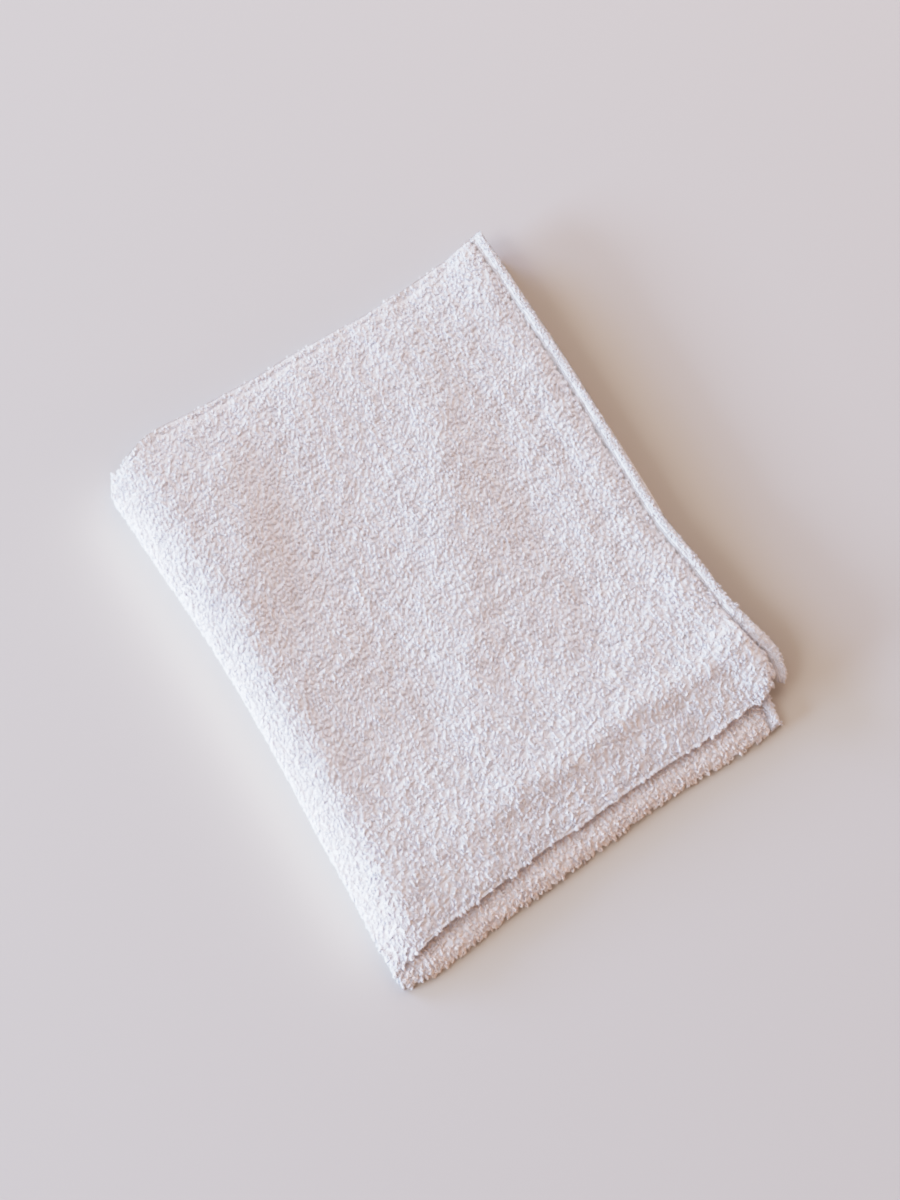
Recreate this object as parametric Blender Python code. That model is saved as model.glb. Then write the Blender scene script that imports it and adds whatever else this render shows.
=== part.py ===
"""Terry hand towel, folded once and lying on a table.

The towel is one hemmed panel of looped cotton, 302 mm wide and about 500 mm long. It is folded over a
soft round turn at -X, so that its two hemmed ends lie one on the other at +X. Its selvedges run along
-Y, which is the front, and +Y. The lower layer stands about 14 mm proud of the upper one in front.

The panel is one closed solid, a back-and-forth section: an upper layer, the turn, and a lower layer
that lies flat at Z = 0. The tables hold millimetres and the mesh is built in metres.
"""
import bmesh
import bpy
import numpy as np

MM = 0.001

# The panel
PANEL_WIDTH = 302.0         # selvedge to selvedge, along Y
FOLDED_DEPTH = 240.0        # from the turn to the hems, along X, where the tables below are read
TERRY_THICKNESS = 4.4       # the ground weave with the loops on both faces
SELVEDGE_THICKNESS = 2.6    # the woven edge carries no loops
SELVEDGE_TAPER = 11.0       # over which the loops reach their full height
EDGE_THICKNESS = 1.6        # at the very edge, which is rounded over
HEM_THICKNESS = 3.4         # the end turned under twice
HEM_WIDTH = 7.0
STITCH_THICKNESS = 2.4      # where the seam draws the hem together

# Places along the panel's width, in mm from the front selvedge, at which a section is cut
SECTION_PLACES = (0, 1.2, 4, 9, 16, 23, 30, 40, 52, 66, 82, 99, 116, 133, 151, 169, 186, 203, 220,
                  236, 250, 262, 272, 281, 289, 295, 299.5, PANEL_WIDTH)

# Places along each layer, in mm from the outside of the turn
STITCH_PLACE = FOLDED_DEPTH - HEM_WIDTH
HEM_PLACES = (STITCH_PLACE - 1.8, STITCH_PLACE, STITCH_PLACE + 1.8, FOLDED_DEPTH - 2.6,
              FOLDED_DEPTH - 0.9, FOLDED_DEPTH)
UPPER_PLACES = (15, 22, 29, 37, 46, 56, 68, 80, 94, 108, 122, 136, 150, 164, 178, 192, 204, 214,
                222, 228) + HEM_PLACES
LOWER_PLACES = (18, 32, 50, 70, 90, 110, 130, 150, 170, 190, 207, 219, 227) + HEM_PLACES
TURN_STEPS = 12

# The outline from above: where the turn and the two hems lie, at places from the front selvedge
SIDE_COLUMNS = ("place", "turn_x", "upper_hem_x", "lower_hem_x")
SIDE_ROWS = (
    (0, -125.0, 119.0, 105.0),
    (14, -124.5, 123.0, 107.5),
    (28, -124.0, 125.0, 111.0),
    (45, -123.0, 121.0, 114.0),
    (80, -121.5, 116.0, 116.0),
    (105, -120.0, 113.5, 115.5),
    (150, -118.0, 115.5, 118.0),
    (200, -117.0, 118.0, 120.0),
    (250, -118.0, 119.0, 121.0),
    (PANEL_WIDTH, -116.0, 120.0, 121.0),
)

# The outline from above: where the selvedges of each layer lie, at places from the turn
UPPER_END_COLUMNS = ("place", "front_y", "back_y")
UPPER_END_ROWS = (
    (6, -147.0, 146.0),
    (14, -145.5, 151.0),
    (28, -142.5, 154.0),
    (60, -139.5, 153.0),
    (110, -136.5, 151.5),
    (185, -134.0, 151.0),
    (215, -132.5, 153.5),
    (FOLDED_DEPTH, -130.0, 157.5),
)
LOWER_END_COLUMNS = ("place", "front_y", "back_y")
LOWER_END_ROWS = (
    (6, -156.5, 136.0),
    (14, -157.5, 139.0),
    (28, -157.0, 141.0),
    (60, -153.5, 141.5),
    (110, -151.5, 141.5),
    (170, -147.5, 142.0),
    (215, -148.0, 143.0),
    (FOLDED_DEPTH, -147.5, 144.0),
)

# Heights of the upper layer's upper face over the table: a row for each place from the turn, and a
# column for each place from the front selvedge
HEIGHT_COLUMNS = (0, 30, 85, 160, 235, 280, PANEL_WIDTH)
HEIGHT_ROWS = (
    (8, (10.8, 12.6, 13.8, 14.8, 16.2, 15.4, 13.4)),
    (20, (9.8, 13.2, 14.6, 15.8, 17.3, 15.6, 12.2)),
    (40, (9.0, 12.8, 13.0, 14.2, 16.2, 13.4, 9.4)),
    (72, (8.6, 12.4, 11.2, 11.8, 12.8, 11.2, 7.8)),
    (110, (8.6, 12.8, 12.2, 12.0, 11.6, 10.8, 7.6)),
    (150, (8.6, 13.0, 12.2, 12.2, 12.4, 10.8, 7.6)),
    (190, (8.5, 12.7, 11.4, 11.6, 12.2, 10.8, 7.6)),
    (220, (8.4, 12.2, 11.2, 11.2, 11.4, 10.6, 7.6)),
    (STITCH_PLACE, (7.4, 9.8, 9.0, 9.0, 9.0, 8.8, 7.0)),
    (FOLDED_DEPTH - 3.5, (6.9, 10.0, 9.6, 9.6, 9.6, 9.2, 7.0)),
    (FOLDED_DEPTH, (5.6, 8.2, 8.0, 8.0, 8.0, 7.8, 6.2)),
)

# Soft ridges and troughs of the upper layer, each along a slanting line from a front to a back point
CREASE_COLUMNS = ("front_x", "front_y", "back_x", "back_y", "half_width", "height")
CREASE_ROWS = (
    (-66, -100, -20, 96, 17, -0.9),
    (-20, -92, 48, 92, 20, 0.9),
    (30, -96, 72, 56, 15, -0.8),
    (104, -84, 110, 100, 9, 0.4),
    (-84, 28, -64, 84, 9, -0.7),
    (52, 40, 62, 74, 9, -0.6),
    (66, -112, 69, -118, 7, -0.6),
)


def smooth_read(places, values, at):
    """Read a table between its rows: a cubic whose slope at a row is that of its two neighbours."""
    places = np.asarray(places, float)
    values = np.asarray(values, float)
    at = np.clip(np.asarray(at, float), places[0], places[-1])
    slopes = np.gradient(values, places)
    row = np.clip(np.searchsorted(places, at, side="right") - 1, 0, len(places) - 2)
    span = places[row + 1] - places[row]
    part = (at - places[row]) / span
    rising = part * part * (3 - 2 * part)
    leaving = part * (1 - part) ** 2 * span
    arriving = -part * part * (1 - part) * span
    return (values[row] * (1 - rising) + values[row + 1] * rising
            + slopes[row] * leaving + slopes[row + 1] * arriving)


def column(columns, rows, name):
    """Give one named column of a table."""
    index = columns.index(name)
    return [row[index] for row in rows]


def side_x(name, across):
    """Where the turn or a hem lies, at a place across the panel."""
    return smooth_read(column(SIDE_COLUMNS, SIDE_ROWS, "place"), column(SIDE_COLUMNS, SIDE_ROWS, name),
                       across)


def plan(layer, along, across):
    """X and Y of points of a layer: stretched between turn and hem, and between the selvedges."""
    columns, rows, hem = {
        "upper": (UPPER_END_COLUMNS, UPPER_END_ROWS, "upper_hem_x"),
        "lower": (LOWER_END_COLUMNS, LOWER_END_ROWS, "lower_hem_x"),
    }[layer]
    places = column(columns, rows, "place")
    turn = side_x("turn_x", across)
    x = turn + (side_x(hem, across) - turn) * along / FOLDED_DEPTH
    front = smooth_read(places, column(columns, rows, "front_y"), along)
    back = smooth_read(places, column(columns, rows, "back_y"), along)
    return x, front + (back - front) * across / PANEL_WIDTH


def thickness(along, across):
    """Terry with its loops, thinner at the selvedges, drawn in at the seam and rounded at the hem."""
    inward = np.minimum(across, PANEL_WIDTH - across)
    to_selvedge = smooth_read((0, 1.2, SELVEDGE_TAPER, 2 * SELVEDGE_TAPER),
                              (EDGE_THICKNESS, SELVEDGE_THICKNESS, TERRY_THICKNESS, TERRY_THICKNESS),
                              inward)
    to_hem = smooth_read((STITCH_PLACE - 7, STITCH_PLACE - 2.5, STITCH_PLACE, STITCH_PLACE + 2.2,
                          FOLDED_DEPTH - 1.4, FOLDED_DEPTH),
                         (TERRY_THICKNESS, TERRY_THICKNESS, STITCH_THICKNESS, HEM_THICKNESS,
                          HEM_THICKNESS, EDGE_THICKNESS), along)
    return np.minimum(to_selvedge, to_hem)


def soft_creases(x, y):
    """Sum of the ridges: each a bell across its line, fading out within a width of its ends."""
    total = np.zeros_like(x)
    for front_x, front_y, back_x, back_y, half_width, height in CREASE_ROWS:
        run = np.array((back_x - front_x, back_y - front_y), float)
        length = np.hypot(*run)
        run /= length
        forward = (x - front_x) * run[0] + (y - front_y) * run[1]
        aside = (x - front_x) * run[1] - (y - front_y) * run[0]
        beyond = forward - np.clip(forward, 0, length)
        total += height * np.exp(-(aside ** 2 + beyond ** 2) / half_width ** 2)
    return total


def upper_height(along, across):
    """The upper face: the table of heights, read across each row and then along the rows."""
    along, across = np.broadcast_arrays(along, across)
    rows = np.array([smooth_read(HEIGHT_COLUMNS, heights, across[0]) for _, heights in HEIGHT_ROWS])
    places = [place for place, _ in HEIGHT_ROWS]
    return np.stack([smooth_read(places, rows[:, i], along[:, i]) for i in range(across.shape[1])], 1)


def turn_section(across):
    """The turn: a half circle as high as the upper layer where it begins, leaned over to the front."""
    height = smooth_read(HEIGHT_COLUMNS, HEIGHT_ROWS[0][1], across)
    thick = thickness(np.full_like(across, 60.0), across)
    radius = (height - thick) / 2
    angle = np.linspace(0.5 * np.pi, 1.5 * np.pi, TURN_STEPS + 1)[:, None]
    centre_x = side_x("turn_x", across) + radius + thick / 2
    centre_z = thick / 2 + radius
    _, upper_y = plan("upper", np.full_like(across, 6.0), across)
    _, lower_y = plan("lower", np.full_like(across, 6.0), across)
    y = upper_y + (lower_y - upper_y) * (1 - np.sin(angle)) / 2
    rings = []
    for side in (0.5, -0.5):
        reach = radius + side * thick
        rings.append(np.stack([centre_x + reach * np.cos(angle), y, centre_z + reach * np.sin(angle)], -1))
    return rings


def layer_faces(layer, places, across):
    """Outer and inner face of a flat layer, as grids of points."""
    along, across = np.meshgrid(np.asarray(places, float), across, indexing="ij")
    x, y = plan(layer, along, across)
    thick = thickness(along, across)
    if layer == "lower":
        outer = np.zeros_like(x)
        inner = thick
    else:
        outer = upper_height(along, across) + soft_creases(x, y) * (thick / TERRY_THICKNESS) ** 2
        inner = outer - thick
    return np.stack([x, y, outer], -1), np.stack([x, y, inner], -1)


def panel_faces():
    """The panel's outer and inner face, from the upper hem round the turn to the lower hem.

    The origin is moved under the middle of the towel.
    """
    across = np.array(SECTION_PLACES, float)
    upper = layer_faces("upper", UPPER_PLACES[::-1], across)
    turn = turn_section(across)
    lower = layer_faces("lower", LOWER_PLACES, across)
    faces = [np.concatenate([upper[i], turn[i], lower[i]]) for i in (0, 1)]
    extent = np.concatenate([face.reshape(-1, 3)[:, :2] for face in faces])
    middle = (extent.min(0) + extent.max(0)) / 2
    for face in faces:
        face[..., :2] -= middle
    return faces


def closed_mesh(name, outer, inner):
    """Join two like grids of points into one closed body, and make its flat underside one face."""
    body = bmesh.new()
    grids = [[[body.verts.new(point * MM) for point in row] for row in grid] for grid in (outer, inner)]
    rows, columns = outer.shape[:2]
    for grid in grids:
        for i in range(rows - 1):
            for j in range(columns - 1):
                body.faces.new((grid[i][j], grid[i][j + 1], grid[i + 1][j + 1], grid[i + 1][j]))
    rim = ([(i, 0) for i in range(rows)] + [(rows - 1, j) for j in range(1, columns)]
           + [(i, columns - 1) for i in range(rows - 2, -1, -1)] + [(0, j) for j in range(columns - 2, 0, -1)])
    for here, there in zip(rim, rim[1:] + rim[:1]):
        body.faces.new((grids[0][here[0]][here[1]], grids[0][there[0]][there[1]],
                        grids[1][there[0]][there[1]], grids[1][here[0]][here[1]]))
    bmesh.ops.recalc_face_normals(body, faces=body.faces)
    under = [face for face in body.faces if max(abs(vert.co.z) for vert in face.verts) < 1e-7]
    inside = {edge for face in under for edge in face.edges
              if all(max(abs(vert.co.z) for vert in near.verts) < 1e-7 for near in edge.link_faces)}
    bmesh.ops.dissolve_edges(body, edges=list(inside), use_verts=True)
    mesh = bpy.data.meshes.new(name)
    body.to_mesh(mesh)
    body.free()
    return mesh


def terry_cotton():
    """Unbleached-white looped cotton, dull and soft."""
    material = bpy.data.materials.new("terry_cotton")
    material.use_nodes = True
    shader = material.node_tree.nodes["Principled BSDF"]
    shader.inputs["Base Color"].default_value = (0.80, 0.77, 0.79, 1.0)
    shader.inputs["Roughness"].default_value = 0.95
    shader.inputs["Metallic"].default_value = 0.0
    return material


def build_towel():
    """The towel: one panel, shaded smooth but for its cut rims."""
    mesh = closed_mesh("towel_panel", *panel_faces())
    mesh.materials.append(terry_cotton())
    mesh.shade_smooth()
    mesh.set_sharp_from_angle(angle=np.radians(50))
    towel = bpy.data.objects.new("towel_panel", mesh)
    bpy.context.scene.collection.objects.link(towel)
    return towel


for old in list(bpy.data.objects):
    bpy.data.objects.remove(old, do_unlink=True)
build_towel()
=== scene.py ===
import math

import bpy
import numpy as np
from mathutils import Matrix, Vector


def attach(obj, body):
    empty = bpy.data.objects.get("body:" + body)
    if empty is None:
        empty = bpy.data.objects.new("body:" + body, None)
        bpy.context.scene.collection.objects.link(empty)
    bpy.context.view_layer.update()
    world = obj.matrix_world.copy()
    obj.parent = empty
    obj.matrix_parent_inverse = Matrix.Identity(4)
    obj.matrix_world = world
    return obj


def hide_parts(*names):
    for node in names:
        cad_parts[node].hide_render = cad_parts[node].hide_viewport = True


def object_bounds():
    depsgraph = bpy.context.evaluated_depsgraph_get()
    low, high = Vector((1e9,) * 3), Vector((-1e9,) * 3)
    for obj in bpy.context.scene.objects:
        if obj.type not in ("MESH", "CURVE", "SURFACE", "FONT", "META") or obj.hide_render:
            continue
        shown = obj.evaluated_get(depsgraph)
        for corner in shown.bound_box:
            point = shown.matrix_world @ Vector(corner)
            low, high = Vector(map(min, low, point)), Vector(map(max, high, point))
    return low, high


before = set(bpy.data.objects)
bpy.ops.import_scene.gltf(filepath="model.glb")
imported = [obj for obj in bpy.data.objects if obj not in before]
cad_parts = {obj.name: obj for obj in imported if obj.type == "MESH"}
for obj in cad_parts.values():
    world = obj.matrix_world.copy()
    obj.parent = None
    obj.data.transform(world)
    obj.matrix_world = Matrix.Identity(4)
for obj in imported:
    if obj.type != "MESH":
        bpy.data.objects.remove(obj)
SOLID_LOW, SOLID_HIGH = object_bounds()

MM = 0.001

# ---- The panel, as in its solid but for its corners ----
PANEL_WIDTH = 302.0  # selvedge to selvedge, along Y
FOLDED_DEPTH = 240.0  # from the turn to the hems, along X; the tables below count along it
PLAIN_PLACE = 60.0  # a place along it that is clear of hem and turn
FIRST_PLACE = 6.0  # where the tables of its two sides begin
TERRY_THICKNESS = 4.4  # the ground weave with the loops on both faces
SELVEDGE_THICKNESS = 2.6
SELVEDGE_TAPER = 11.0  # over which the loops reach their full height
EDGE_THICKNESS = 1.6
HEM_THICKNESS = 3.4  # the end turned under twice
HEM_WIDTH = 7.0
STITCH_THICKNESS = 2.4
STITCH_PLACE = FOLDED_DEPTH - HEM_WIDTH
# thickness at places in from a selvedge, and at places along the panel
INWARD_ROWS = ((0, EDGE_THICKNESS), (1.2, SELVEDGE_THICKNESS), (SELVEDGE_TAPER, TERRY_THICKNESS),
               (2 * SELVEDGE_TAPER, TERRY_THICKNESS))
HEM_ROWS = ((STITCH_PLACE - 7, TERRY_THICKNESS), (STITCH_PLACE - 2.5, TERRY_THICKNESS),
            (STITCH_PLACE, STITCH_THICKNESS), (STITCH_PLACE + 2.2, HEM_THICKNESS),
            (FOLDED_DEPTH - 1.4, HEM_THICKNESS), (FOLDED_DEPTH, EDGE_THICKNESS))

SIDE_COLUMNS = ("place", "turn_x", "upper_hem_x", "lower_hem_x")
SIDE_ROWS = (
    (0, -125.0, 121.0, 105.0), (14, -124.5, 123.5, 107.5), (28, -124.0, 120.5, 111.0),
    (45, -123.0, 117.5, 114.0), (80, -121.5, 115.5, 116.0), (105, -120.0, 113.5, 115.5),
    (150, -118.0, 115.5, 118.0), (200, -117.5, 118.0, 120.0), (250, -119.5, 119.0, 121.0),
    (280, -120.5, 119.5, 121.0), (PANEL_WIDTH, -121.5, 120.0, 121.0),
)
END_COLUMNS = ("place", "front_y", "back_y")
UPPER_END_ROWS = (
    (6, -147.0, 143.0), (14, -145.5, 147.0), (28, -142.5, 152.0), (60, -139.5, 152.0),
    (110, -136.5, 151.5), (185, -134.0, 151.0), (215, -132.5, 153.5), (FOLDED_DEPTH, -130.0, 157.5),
)
LOWER_END_ROWS = (
    (6, -156.5, 136.0), (14, -157.5, 139.0), (28, -157.0, 141.0), (60, -153.5, 141.5),
    (110, -151.5, 141.5), (170, -147.5, 142.0), (215, -148.0, 143.0), (FOLDED_DEPTH, -147.5, 144.0),
)
HEIGHT_COLUMNS = (0, 30, 85, 160, 235, 280, PANEL_WIDTH)
HEIGHT_ROWS = (
    (8, (10.8, 12.6, 13.8, 14.8, 16.2, 15.4, 13.4)),
    (20, (9.8, 13.2, 14.6, 15.8, 17.3, 15.6, 12.2)),
    (40, (9.0, 12.8, 13.0, 14.2, 16.2, 13.4, 9.4)),
    (72, (8.6, 12.4, 11.2, 11.8, 12.8, 11.2, 7.8)),
    (110, (8.6, 12.8, 12.2, 12.0, 11.6, 10.8, 7.6)),
    (150, (8.6, 13.0, 12.2, 12.2, 12.4, 10.8, 7.6)),
    (190, (8.5, 12.7, 11.4, 11.6, 12.2, 10.8, 7.6)),
    (220, (8.4, 12.2, 11.2, 11.2, 11.4, 10.6, 7.6)),
    (STITCH_PLACE, (7.4, 9.8, 9.0, 9.0, 9.0, 8.8, 7.0)),
    (FOLDED_DEPTH - 3.5, (6.9, 10.0, 9.6, 9.6, 9.6, 9.2, 7.0)),
    (FOLDED_DEPTH, (5.6, 8.2, 8.0, 8.0, 8.0, 7.8, 6.2)),
)
CREASE_COLUMNS = ("y", "x", "half_width", "height")
CREASES = (
    # the turn's crown
    ((-120, -106, 12, 0.2), (-60, -104, 12, 0.1), (-10, -95, 12, 0.0), (25, -90, 13, 0.4),
     (50, -82, 13, 1.0), (75, -74, 14, 1.4), (100, -66, 14, 1.3), (130, -60, 14, 0.3)),
    # the trough beside it
    ((-60, -62, 16, 0.2), (-25, -64, 17, 0.6), (0, -64, 17, 0.5), (25, -64, 13, -0.2),
     (50, -56, 12, -0.7), (75, -51, 12, -1.1), (100, -40, 13, -1.0), (128, -32, 13, -0.2)),
    # the long ridge over the middle
    ((-118, -28, 16, 0.0), (-75, -23, 16, 1.2), (-50, -16, 16, 1.2), (-25, -8, 17, 1.4),
     (0, 5, 18, 1.5), (25, 17, 18, 1.7), (50, 29, 17, 1.9), (75, 40, 17, 1.6), (105, 50, 17, 0.5)),
    # the long trough before the hems
    ((-95, 28, 14, -0.3), (-60, 52, 14, -0.9), (-25, 56, 13, -1.1), (0, 59, 13, -1.2),
     (25, 60, 13, -1.1), (50, 66, 12, -1.5), (75, 66, 12, -0.9), (100, 66, 12, 0.0)),
    # the rise to the seam
    ((-132, 113, 10, 2.0), (-105, 110, 11, 1.7), (-75, 107, 11, 1.3), (50, 107, 11, 1.3),
     (110, 110, 10, 1.1)),
    # short dents
    ((126, 66, 8, 0.0), (140, 66, 8, -0.9), (150, 66, 8, -0.9)),
    ((-124, 69, 7, -0.9), (-112, 66, 7, -0.8), (-102, 66, 7, 0.0)),
)

# ---- What the solid leaves out ----
GROUND, MATTED = 0.6, 0.5  # half the woven ground's thickness, and what the loops' matted roots add
MATTED_SPAN = (3.0, 6.0)  # in from a selvedge, over which they begin
MATTED_ALONG = (HEM_WIDTH - 0.4, HEM_WIDTH + 1.2)  # and in from the end
UNDERSIDE_GAP = 0.12  # the pressed underside's height over the table
UNDERSIDE_SPAN = (9.0, 15.0)  # in from a selvedge, over which it comes down to this
LOWER_START, LOWER_BLEND = 12.0, 14.0  # where the lower layer leaves the turn, and how long it takes
SELVEDGE_ROUND = 0.9  # radius of a selvedge's edge
GROOVE_DEPTH, GROOVE_HALF, SEAM_SHADE_HALF = 0.5, 0.7, 0.8  # the seam's groove, and the half width of its painted shade line
PUCKER_PITCH = 10.0  # between the deeper puckers along the seam
PUCKER_WAVER, PUCKER_WAVER_SIZE = 0.6, 17.0
GROUND_FLOOR = 0.05  # the lowest that the ground comes over the table
# the upper layer's swells, dimples and clumped loops: size, height, seed
SWELLS = ((27.0, 0.45, 11), (11.0, 0.30, 12), (5.0, 0.38, 14))
EDGE_WAVER_SIZE, EDGE_WAVER = 23.0, 0.7  # of the selvedges, in plan
TURN_DIP, TURN_DIP_REACH = 8.0, 26.0  # the upper face falls more and more towards the turn
TURN_START = 4.5  # where along the panel the upper face passes into the turn
HEM_LIFT = 2.8  # the hem lies higher than in the solid
HEM_RISE = (STITCH_PLACE - 23, STITCH_PLACE - 3)  # where it lifts, along the panel
HEM_EDGE_LIFT, HEM_EDGE_REACH = 1.9, 4.0  # and once more at its folded edge, so that it stays level
HEM_FULLNESS = 0.82  # its faces' distance from its middle, as a share of the solid's
HEM_ROUND = 1.7  # radius of its folded edge
HEM_SHOULDER = (HEM_WIDTH - 4.4, HEM_WIDTH - 0.3)  # in from its edge, where it sinks to the ground
HEM_FADE, SELVEDGE_FADE = (HEM_WIDTH - 0.8, HEM_WIDTH - 0.2), (1.6, 2.8)  # where their weave ends
CORNER_CUT, CORNER_START, CORNER_CURVE = 4.0, 294.0, 1.1  # the turn's back corner is drawn in
NOTCH, NOTCH_PLACE, NOTCH_HALF = 4.5, 1.5, 2.6  # the upper front corner is drawn in before its seam
HEM_OVERHANG, OVERHANG_REACH, END_ROUNDING, END_REACH = 0.5, 3.0, 2.6, 2.5  # and stands out at its hem
DROOP, DROOP_LENGTH, DROOP_CURVE, DROOP_EDGE = 4.0, 26.0, 1.5, 1.2  # the hem's loose end hangs down
RIM_FALL, RIM_FALL_REACH = 1.2, 18.0  # the front rim comes down on the lower layer
CREST_PLACE, CREST_HALF, CREST_HEIGHT = 32.0, 8.0, 2.1  # of the front margin's crest, from its selvedge
CREST_WAVER, CREST_WAVER_SIZE = 2.5, 24.0
CREST_LEAST, CREST_SPAN = 0.25, (40.0, 110.0)  # it is low beside the turn, and full beyond
UPPER_SHIFT, LEAN_SHIFT = 300.0, 400.0  # which parts of the noise are read

# The grid: start, stop and step of each stretch; the upper layer's are counted from its hem
GRID_ACROSS = ((0, 6, 0.75), (6, PANEL_WIDTH - 6, 3.0), (PANEL_WIDTH - 6, PANEL_WIDTH, 0.75))
GRID_UPPER = ((0, 13, 0.5), (13, FOLDED_DEPTH - 6, 2.0))
GRID_LOWER = ((LOWER_START, 224, 5.0), (224, FOLDED_DEPTH, 0.8))
TURN_POINTS = 25

# ---- Loops ----
LOOP_STEPS, YARN_SIDES, YARN_RADIUS = 6, 3, 0.58  # rings of points round a loop, and its yarn
YARN_FLAT = (0.80, 1.05)  # its height and width, as shares of that radius
YARN_RANGE = (0.88, 1.12)  # of the radius, loop by loop
SUNK = 0.35  # how far the loops are rooted in the ground
LOOP_FLOOR = 0.06  # the lowest that a loop comes over the table
LOOP_PITCH = (1.9, 2.05)  # along the section and across it
SHAKE = 0.40  # of the roots off their lattice, as a share of the pitch
LOW_PILE = ((1.9, 3.3), (0.45, 0.85))  # ranges of length and height
HEIGHT_CHOICE, HEIGHT_ODDS = (0.85, 1.0, 1.15), (0.3, 0.5, 0.2)
WIDTHS, WIDTH_ODDS = (1.1, 1.6, 2.2), (0.35, 0.45, 0.2)
WIDTH_RANGE = (0.85, 1.15)  # of the width, loop by loop
SIDE_TURN = 0.3  # spread of the angle at which a loop's width stands
LEAN_ANGLE = math.radians(250.4)
LEAN_SWAY, LEAN_SWAY_SIZE = math.radians(22), 15.0
LEAN_SCATTER = (math.radians(30), math.radians(11))  # in the front margin, and behind it
CURL = (0.7, 0.28)  # spread of the loops' twist, in the same two places
CALM_SPAN = (40.0, 110.0)  # across the panel, where the one passes into the other
CALM_NARROWER, CALM_THICKER = 0.45, 0.14
CLEAN_BAND, CLEAN_LESS, CLEAN_LEAST = 1.3, 0.7, 0.3  # the selvedge without loops; less at the turn
CLEAN_FROM, CLEAN_PAST = 0.55, 4.0  # where it narrows: a share of the way to the turn, and past it
CLEAN_WAVER, CLEAN_WAVER_SIZE = 0.8, 5.0

HEM_CLEAR = 0.5  # between a seam and the first loops
TURN_CLEAR = 8.0  # past the turn, where its outer loops end
INSIDE_REACH = 14.0  # before and past the turn, of the loops inside it
FRONT_TURN = math.radians(12)  # of the nap in front of the lower layer
# the hem's nubs: turn of the nap, lengths, heights, pitch, yarn radius, share of the width, sunk
NUBS = (math.radians(20), (1.2, 2.0), (0.12, 0.35), (1.3, 1.5), 0.38, 0.5, 0.15)

# ---- Colours and weave ----
# of yarn that stands free, and painted shade tones for that down in the pile
LOOP_FREE, LOOP_PAINTED_SHADE = (0.83, 0.85, 0.96, 1), (0.85, 0.845, 0.945, 1)
# the lower layer's front loops: painted shade, warmer and darker, for the shade under the upper layer
LOW_LOOP_PAINTED_SHADE_TOP, LOW_LOOP_PAINTED_SHADE_ROOT = (0.86, 0.835, 0.89, 1), (0.84, 0.71, 0.70, 1)
GROUND_FREE, GROUND_PAINTED_SHADE = (0.83, 0.85, 0.96, 1), (0.83, 0.855, 0.97, 1)
# the thread is painted dark, as the shade in the seam's groove
THREAD_PAINTED_SHADE = (0.62, 0.58, 0.63, 1)
SHADE_SPREAD, FLECK_SPREAD, FLECK_SCALE = 0.05, 0.04, 900.0
# painted shade along the seam: its colour is scaled by 1 plus this at the middle of the line
SEAM_PAINTED_SHADE = -0.75
LOOP_BUMP, GROUND_BUMP, THREAD_BUMP = 0.00012, 0.00025, 0.00005  # in metres
LOOP_TWIST, THREAD_TWIST = 8.0, 3.0  # turns of the ply along a strand
PLY_STRENGTH = 0.15
HEM_RIB, SELVEDGE_RIB = 1.25, 1.1  # pitch of the weft ribs
RIB_WAVER, FUZZ_HEIGHT, SELVEDGE_HEIGHT = 0.9, 6.0, 0.4
GRAIN_HEIGHT, GRAIN_SHAPE = 6.5, (0.22, 0.75, 1.0)  # of the matted loops, drawn out along the nap
PLAIN_PAINTED_SHADE = 0.6  # how far the ground under the loops takes the painted shade tone
TABLE_REACH, TABLE_COLOUR = 4.0, (0.490, 0.447, 0.411, 1)

# ---- Light: metres away, degrees of elevation and azimuth, size, watts, colour, what is lit alone ----
LAMPS = (
    ("window_light", 9.6, 9.5, 163, (4.8, 1.2), 1350.0, (0.60, 0.80, 1.0), None),
    ("window_glow", 9.6, 9.5, 163, (4.8, 1.2), 1000.0, (0.34, 0.54, 1.0), "table_top"),
    ("window_glow_behind", 9.6, 10.5, 122, (4.8, 1.2), 2000.0, (0.38, 0.57, 1.0), "table_top"),
    ("upper_window", 3.0, 35, 163, (1.8, 1.0), 38.5, (0.86, 0.93, 0.98), None),
    ("back_fill", 2.6, 30, 46, (1.9, 1.3), 36.5, (1.0, 0.846, 0.77), None),
    ("room_glow", 3.0, 8, 302, (2.0, 0.8), 20.0, (1.0, 0.70, 0.52), None),
)
BOUNCE_LAMP, BOUNCE_PLACE = ((0.016, 0.27), 0.024, (0.88, 0.94, 1.0)), (-0.126, -0.002, 0.022)
BRIGHT_SIDE = math.radians(122)  # in plan
ROOM_FAR, ROOM_BRIGHT, ROOM_CURVE = (0.36, 0.13, 0.0, 1), (1.00, 1.11, 1.17, 1), 1.6
ROOM_SEEN = (0.80, 0.77, 0.79, 1)
BOUNCES, PIXEL_SOFTNESS, FILM_WHITE = 12, 2.3, 3.0
# light, and how it is shown
FILM_ROWS = ((0.2, 0.2), (0.4, 0.4), (0.6, 0.57), (0.8, 0.70), (1.0, 0.785), (1.3, 0.86), (1.8, 0.93))


def smooth_read(places, values, at):
    """Read a table between its rows: a cubic whose slope at a row is that of its two neighbours."""
    places = np.asarray(places, float)
    values = np.asarray(values, float)
    at = np.clip(np.asarray(at, float), places[0], places[-1])
    slopes = np.gradient(values, places)
    row = np.clip(np.searchsorted(places, at, side="right") - 1, 0, len(places) - 2)
    span = places[row + 1] - places[row]
    part = (at - places[row]) / span
    rising = part * part * (3 - 2 * part)
    leaving = part * (1 - part) ** 2 * span
    arriving = -part * part * (1 - part) * span
    return (values[row] * (1 - rising) + values[row + 1] * rising
            + slopes[row] * leaving + slopes[row + 1] * arriving)


def soft_step(low, high, value):
    """From 0 at low to 1 at high, level at both ends: 3 t^2 - 2 t^3."""
    t = np.clip((np.asarray(value, float) - low) / (high - low), 0, 1)
    return t * t * (3 - 2 * t)


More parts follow.
